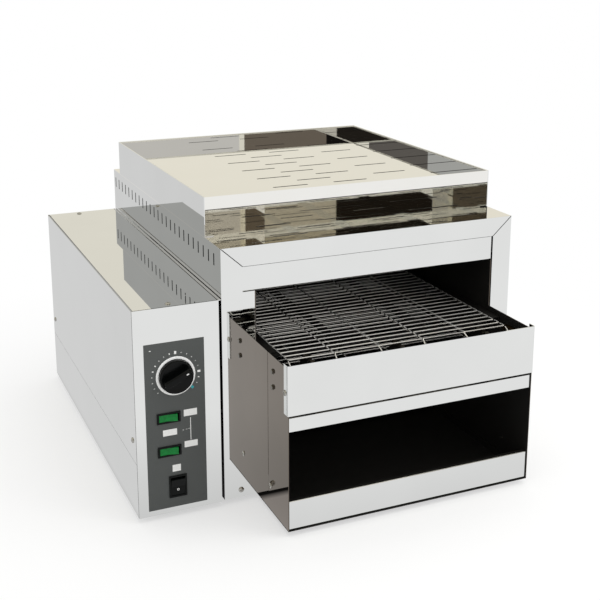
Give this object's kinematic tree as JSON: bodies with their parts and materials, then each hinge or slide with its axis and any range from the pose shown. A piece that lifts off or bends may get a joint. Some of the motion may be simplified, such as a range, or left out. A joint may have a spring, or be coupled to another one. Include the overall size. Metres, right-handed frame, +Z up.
{
  "type": "conveyor toaster",
  "caption": "Countertop conveyor toaster: wire belt fed from the front, return chute to a slide-out lower tray, side control box and slotted warming tray on top.",
  "frame": {"origin": "middle of the footprint on the floor", "axes": "+Z up; -Y out of the front, where the toast goes in; +X to the right seen from the front"},
  "size_m": [0.589, 0.697, 0.434],
  "materials": {
    "polished_steel": "polished stainless sheet",
    "belt_wire": "bright drawn stainless wire",
    "plain_steel": "turned or cold drawn steel",
    "fastener_steel": "stainless screws and bolts",
    "bearing_brass": "sintered bearing bronze",
    "element_sheath": "heat-darkened alloy sheath",
    "collar_ceramic": "glazed white ceramic",
    "aluminised_steel": "dull aluminised sheet",
    "overlay_film": "matt grey polyester film",
    "dial_ring": "white moulded ring",
    "black_plastic": "black moulded plastic",
    "green_lens": "tinted translucent plastic",
    "cream_plastic": "moulded thermoset",
    "chain_steel": "oiled roller chain",
    "motor_paint": "dark grey enamel",
    "foot_rubber": "black rubber"
  },
  "bodies": {
    "oven": {"back_panel": "polished_steel", "base_pan": "polished_steel", "bearing_bolts": "fastener_steel", "belt_cross_bars": "plain_steel", "belt_guide_left": "plain_steel", "belt_guide_right": "plain_steel", "belt_rail_left": "plain_steel", "belt_rail_right": "plain_steel", "box_spacers": "plain_steel", "cable_gland": "black_plastic", "casing_screws": "fastener_steel", "control_back": "polished_steel", "control_base": "polished_steel", "control_cover": "polished_steel", "control_front": "polished_steel", "control_overlay": "overlay_film", "conveyor_side_left": "polished_steel", "conveyor_side_right": "polished_steel", "cross_rail": "polished_steel", "dial_ring": "dial_ring", "drive_chain": "chain_steel", "element_collars": "collar_ceramic", "feed_apron": "polished_steel", "feed_floor": "polished_steel", "feet": "foot_rubber", "front_frame_left": "polished_steel", "front_frame_right": "polished_steel", "front_frame_top": "polished_steel", "gearmotor": "motor_paint", "heat_reflector": "aluminised_steel", "heat_switch_cases": "black_plastic", "heating_elements": "element_sheath", "hood_panel": "polished_steel", "left_jamb": "polished_steel", "left_side_panel": "polished_steel", "main_switch_case": "black_plastic", "mesh_belt": "belt_wire", "motor_bracket": "aluminised_steel", "rear_deflector": "aluminised_steel", "return_chute": "aluminised_steel", "right_side_panel": "polished_steel", "shaft_bearings": "bearing_brass", "speed_regulator": "black_plastic", "terminal_block": "cream_plastic", "top_plate": "polished_steel", "warming_tray_floor": "polished_steel", "warming_tray_walls": "polished_steel"},
    "speed_dial": {"speed_knob": "black_plastic", "regulator_spindle": "plain_steel"},
    "upper_heat_rocker": {"upper_heat_rocker": "green_lens"},
    "lower_heat_rocker": {"lower_heat_rocker": "green_lens"},
    "main_rocker": {"main_switch_rocker": "black_plastic"},
    "rear_drive": {"drive_shaft": "plain_steel", "rear_sprockets": "plain_steel", "drive_sprocket": "plain_steel"},
    "front_roller": {"front_shaft": "plain_steel", "front_sprockets": "plain_steel"},
    "motor_output": {"motor_shaft": "plain_steel", "motor_sprocket": "plain_steel"},
    "crumb_drawer": {"collecting_tray": "polished_steel"}
  },
  "joints": [
    {"name": "speed_dial_turn", "type": "hinge", "parent": "oven", "child": "speed_dial", "pos_m": [-0.2355, -0.2445, 0.209], "axis": [0, -1, 0], "range_deg": [-65, 195]},
    {"name": "upper_heat_rock", "type": "hinge", "parent": "oven", "child": "upper_heat_rocker", "pos_m": [-0.247, -0.2305, 0.15], "axis": [0, 0, 1], "range_deg": [0, 16]},
    {"name": "lower_heat_rock", "type": "hinge", "parent": "oven", "child": "lower_heat_rocker", "pos_m": [-0.247, -0.2305, 0.101], "axis": [0, 0, 1], "range_deg": [0, 16]},
    {"name": "main_rock", "type": "hinge", "parent": "oven", "child": "main_rocker", "pos_m": [-0.2365, -0.2305, 0.047], "axis": [-1, 0, 0], "range_deg": [0, 16]},
    {"name": "rear_shaft_turn", "type": "hinge", "parent": "oven", "child": "rear_drive", "pos_m": [0.0075, 0.24662, 0.207], "axis": [1, 0, 0], "continuous": true},
    {"name": "front_shaft_turn", "type": "hinge", "parent": "oven", "child": "front_roller", "pos_m": [0.0075, -0.2945, 0.207], "axis": [1, 0, 0], "continuous": true},
    {"name": "motor_shaft_turn", "type": "hinge", "parent": "oven", "child": "motor_output", "pos_m": [-0.2005, 0.15662, 0.098], "axis": [1, 0, 0], "continuous": true},
    {"name": "tray_slide", "type": "slide", "parent": "oven", "child": "crumb_drawer", "axis": [0, -1, 0], "range_m": [0, 0.24]}
  ],
  "couplings": [
    {"joint": "front_shaft_turn", "follows": "rear_shaft_turn", "ratio": 1},
    {"joint": "motor_shaft_turn", "follows": "rear_shaft_turn", "ratio": 1.3333}
  ]
}
